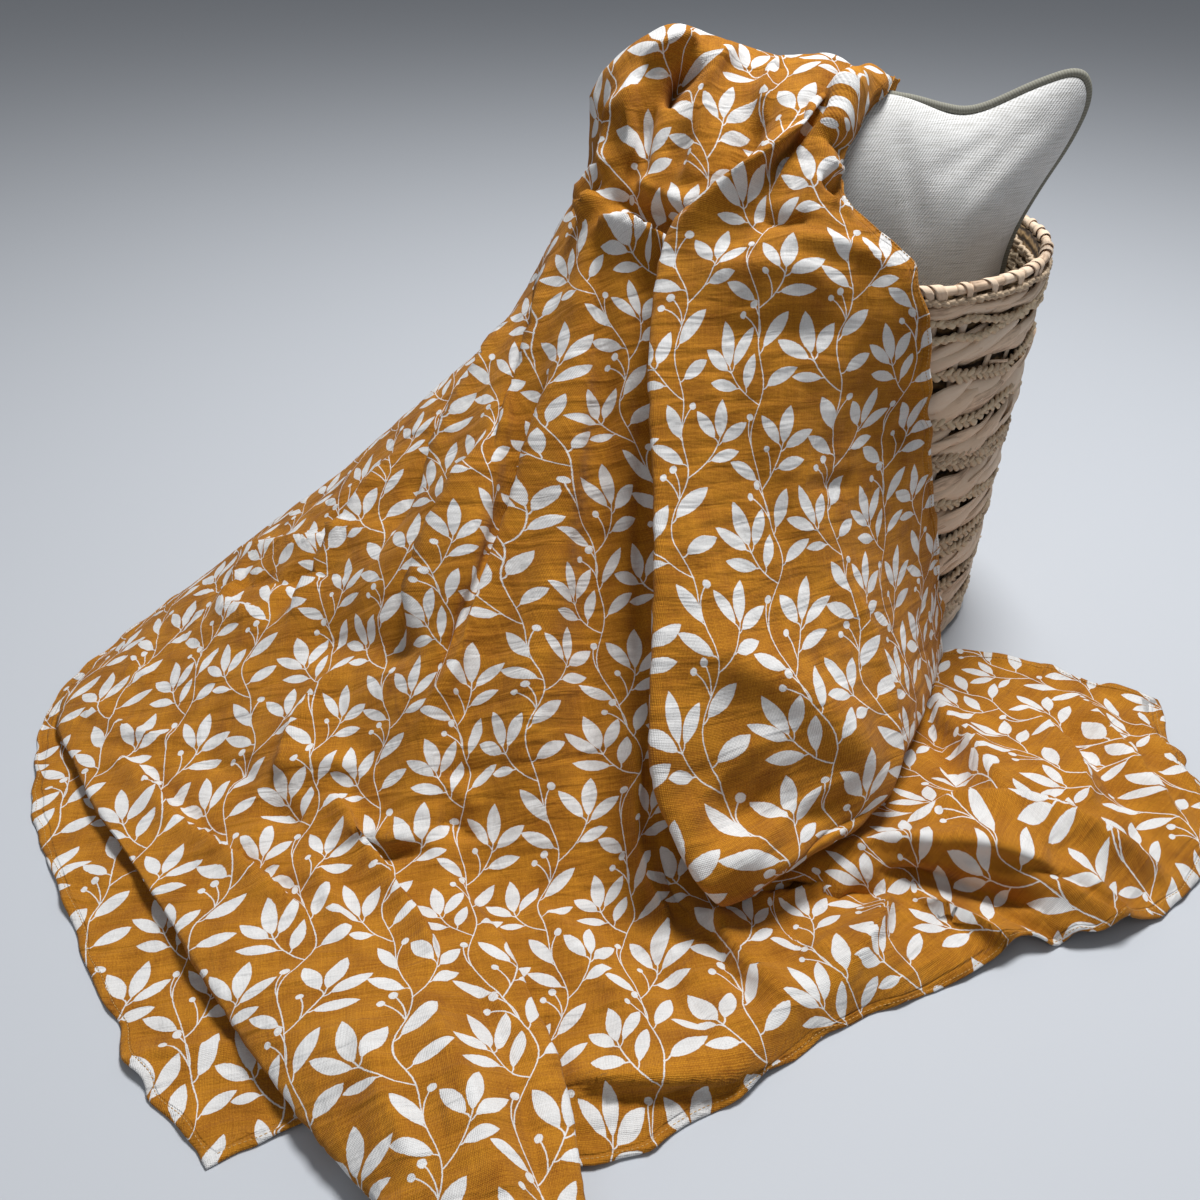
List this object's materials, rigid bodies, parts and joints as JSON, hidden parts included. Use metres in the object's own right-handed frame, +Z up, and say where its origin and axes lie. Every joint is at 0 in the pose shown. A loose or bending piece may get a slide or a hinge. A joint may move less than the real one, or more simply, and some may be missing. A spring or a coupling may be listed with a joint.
{
  "type": "swaddle blanket over a woven basket with a cushion",
  "caption": "Printed muslin swaddle blanket draped over a cushion in a round woven basket, falling to the floor as a tent of soft folds.",
  "frame": {"origin": "centre of the basket's flat foot, on the floor", "axes": "+Z up, -Y towards the side that the blanket falls to, +X to the right as seen from there"},
  "size_m": [1.1303, 1.0154, 0.6016],
  "materials": {
    "ochre_muslin": "soft slub muslin, matt",
    "woven_seagrass": "braided seagrass and husk, matt",
    "natural_linen": "plain linen weave, matt"
  },
  "bodies": {
    "root": {"blanket": "ochre_muslin", "basket": "woven_seagrass", "cushion": "natural_linen"}
  },
  "joints": []
}
